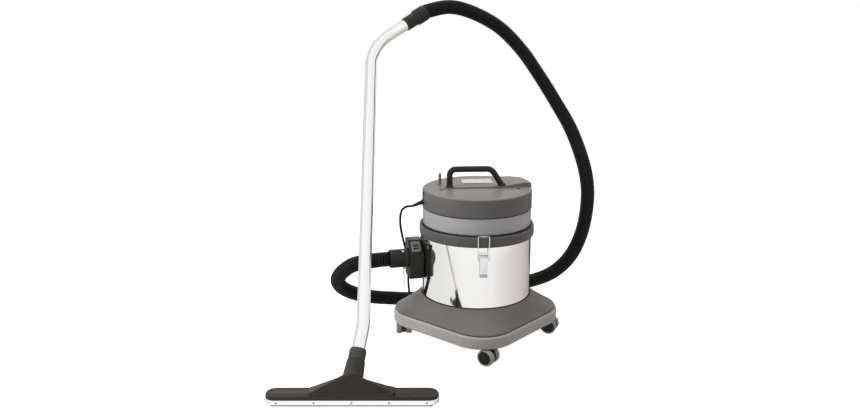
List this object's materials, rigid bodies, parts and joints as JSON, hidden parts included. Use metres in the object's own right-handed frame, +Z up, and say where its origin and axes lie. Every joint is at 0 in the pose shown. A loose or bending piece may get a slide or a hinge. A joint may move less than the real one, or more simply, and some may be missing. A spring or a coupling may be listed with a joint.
{
  "type": "shop vacuum",
  "caption": "Upright wet-and-dry vacuum: polished steel drum on a castor base, grey motor head with bar handle, corrugated hose, bent steel wand and wide floor tool.",
  "frame": {"origin": "on the floor under the drum's axis", "axes": "+Z up, -Y towards the front, where one castor and the front latch are; the hose inlet faces -X"},
  "size_m": [1.0172, 0.9617, 1.0137],
  "materials": {
    "drum_steel": "mirror-polished stainless steel",
    "wand_chrome": "bright chrome",
    "bright_steel": "bright zinc plate",
    "dark_plastic": "fine grain, satin",
    "light_plastic": "fine grain, satin",
    "bumper": "satin, scuffed",
    "black_plastic": "satin",
    "button": "gloss",
    "castor_tyre": "grey rubber tread",
    "hose_plastic": "corrugated, semi-gloss",
    "soft_rubber": "matte",
    "label": "blank printed film",
    "rocker_red": "gloss",
    "motor_metal": "die-cast",
    "foam": "open-cell foam",
    "float_white": "satin",
    "filter_paper": "pleated paper"
  },
  "bodies": {
    "vacuum": {"base_skirt": "dark_plastic", "bumper_band": "bumper", "base_plate": "black_plastic", "drum": "drum_steel", "rim_band": "dark_plastic", "rim_gasket": "soft_rubber", "head_ring": "light_plastic", "head_cover": "dark_plastic", "head_screws": "bright_steel", "handle": "black_plastic", "cable_peg": "dark_plastic", "label_plate": "label", "strain_relief": "soft_rubber", "switch_bezel": "black_plastic", "motor_plate": "black_plastic", "motor_can": "motor_metal", "fan_housing": "motor_metal", "motor_seal": "soft_rubber", "acoustic_foam": "foam", "float_cage": "black_plastic", "filter": "filter_paper", "inlet_flange": "black_plastic", "inlet_gasket": "soft_rubber", "inlet_body": "black_plastic", "inlet_deflector": "black_plastic", "inlet_screws": "bright_steel", "inlet_cuff": "black_plastic", "cuff_screw": "bright_steel", "hose": "hose_plastic", "wand_cuff": "black_plastic", "wand": "wand_chrome", "latch_bracket_front": "bright_steel", "latch_bracket_rear": "bright_steel", "latch_rivets": "bright_steel", "mains_lead": "soft_rubber", "lead_coil": "soft_rubber", "lead_plug": "soft_rubber"},
    "rocker": {"rocker_switch": "rocker_red"},
    "rotor": {"motor_shaft": "bright_steel", "impeller": "motor_metal"},
    "float": {"float_ball": "float_white"},
    "button": {"inlet_button": "button"},
    "chain": {"inlet_chain": "bright_steel"},
    "floor_tool": {"tool_body": "black_plastic", "tool_neck": "black_plastic", "tool_band": "bright_steel", "tool_lips": "soft_rubber", "tool_screws": "bright_steel"},
    "castor_front": {"castor_hood_front": "black_plastic"},
    "wheels_front": {"castor_wheels_front": "castor_tyre"},
    "castor_right": {"castor_hood_right": "black_plastic"},
    "wheels_right": {"castor_wheels_right": "castor_tyre"},
    "castor_rear": {"castor_hood_rear": "black_plastic"},
    "wheels_rear": {"castor_wheels_rear": "castor_tyre"},
    "castor_left": {"castor_hood_left": "black_plastic"},
    "wheels_left": {"castor_wheels_left": "castor_tyre"},
    "lever_front": {"latch_lever_front": "bright_steel"},
    "bail_front": {"latch_bail_front": "bright_steel"},
    "lever_rear": {"latch_lever_rear": "bright_steel"},
    "bail_rear": {"latch_bail_rear": "bright_steel"}
  },
  "joints": [
    {"name": "castor_swivel_front", "type": "hinge", "parent": "vacuum", "child": "castor_front", "pos_m": [0, -0.222, 0.056], "axis": [0, 0, 1], "continuous": true},
    {"name": "wheel_spin_front", "type": "hinge", "parent": "castor_front", "child": "wheels_front", "pos_m": [0.01103, -0.23062, 0.025], "axis": [0.6157, 0.788, 0], "continuous": true},
    {"name": "castor_swivel_right", "type": "hinge", "parent": "vacuum", "child": "castor_right", "pos_m": [0.222, 0, 0.056], "axis": [0, 0, 1], "continuous": true},
    {"name": "wheel_spin_right", "type": "hinge", "parent": "castor_right", "child": "wheels_right", "pos_m": [0.23436, -0.00657, 0.025], "axis": [0.4695, 0.8829, 0], "continuous": true},
    {"name": "castor_swivel_rear", "type": "hinge", "parent": "vacuum", "child": "castor_rear", "pos_m": [0, 0.222, 0.056], "axis": [0, 0, 1], "continuous": true},
    {"name": "wheel_spin_rear", "type": "hinge", "parent": "castor_rear", "child": "wheels_rear", "pos_m": [-0.01316, 0.22679, 0.025], "axis": [-0.342, -0.9397, 0], "continuous": true},
    {"name": "castor_swivel_left", "type": "hinge", "parent": "vacuum", "child": "castor_left", "pos_m": [-0.222, 0, 0.056], "axis": [0, 0, 1], "continuous": true},
    {"name": "wheel_spin_left", "type": "hinge", "parent": "castor_left", "child": "wheels_left", "pos_m": [-0.222, 0.014, 0.025], "axis": [-1, 0, 0], "continuous": true},
    {"name": "lever_front", "type": "hinge", "parent": "vacuum", "child": "lever_front", "pos_m": [0, -0.1725, 0.302], "axis": [-1, 0, 0], "range_deg": [0, 120]},
    {"name": "bail_front", "type": "hinge", "parent": "lever_front", "child": "bail_front", "pos_m": [0, -0.1755, 0.292], "axis": [-1, 0, 0], "range_deg": [-155, 5]},
    {"name": "lever_rear", "type": "hinge", "parent": "vacuum", "child": "lever_rear", "pos_m": [0, 0.1725, 0.302], "axis": [1, 0, 0], "range_deg": [0, 120]},
    {"name": "bail_rear", "type": "hinge", "parent": "lever_rear", "child": "bail_rear", "pos_m": [0, 0.1755, 0.292], "axis": [1, 0, 0], "range_deg": [-155, 5]},
    {"name": "power_switch", "type": "hinge", "parent": "vacuum", "child": "rocker", "pos_m": [0.07793, 0.14657, 0.44], "axis": [0.8829, -0.4695, 0], "range_deg": [0, 12]},
    {"name": "inlet_release", "type": "slide", "parent": "vacuum", "child": "button", "axis": [-0.1228, 0.6964, -0.7071], "range_m": [0, 0.003], "stiffness_N_per_m": 500},
    {"name": "chain_swing", "type": "hinge", "parent": "vacuum", "child": "chain", "pos_m": [-0.22276, -0.03928, 0.2291], "axis": [0.1736, -0.9848, 0], "range_deg": [-25, 15]},
    {"name": "motor_spin", "type": "hinge", "parent": "vacuum", "child": "rotor", "pos_m": [0, 0, 0.4], "axis": [0, 0, 1], "continuous": true},
    {"name": "float_rise", "type": "slide", "parent": "vacuum", "child": "float", "axis": [0, 0, 1], "range_m": [0, 0.038]},
    {"name": "tool_turn", "type": "hinge", "parent": "vacuum", "child": "floor_tool", "pos_m": [-0.354, -0.398, 0.128], "axis": [0.1892, 0.6442, 0.7411], "continuous": true}
  ],
  "couplings": [
    {"joint": "bail_front", "follows": "lever_front", "ratio": -1.25},
    {"joint": "bail_rear", "follows": "lever_rear", "ratio": -1.25}
  ]
}
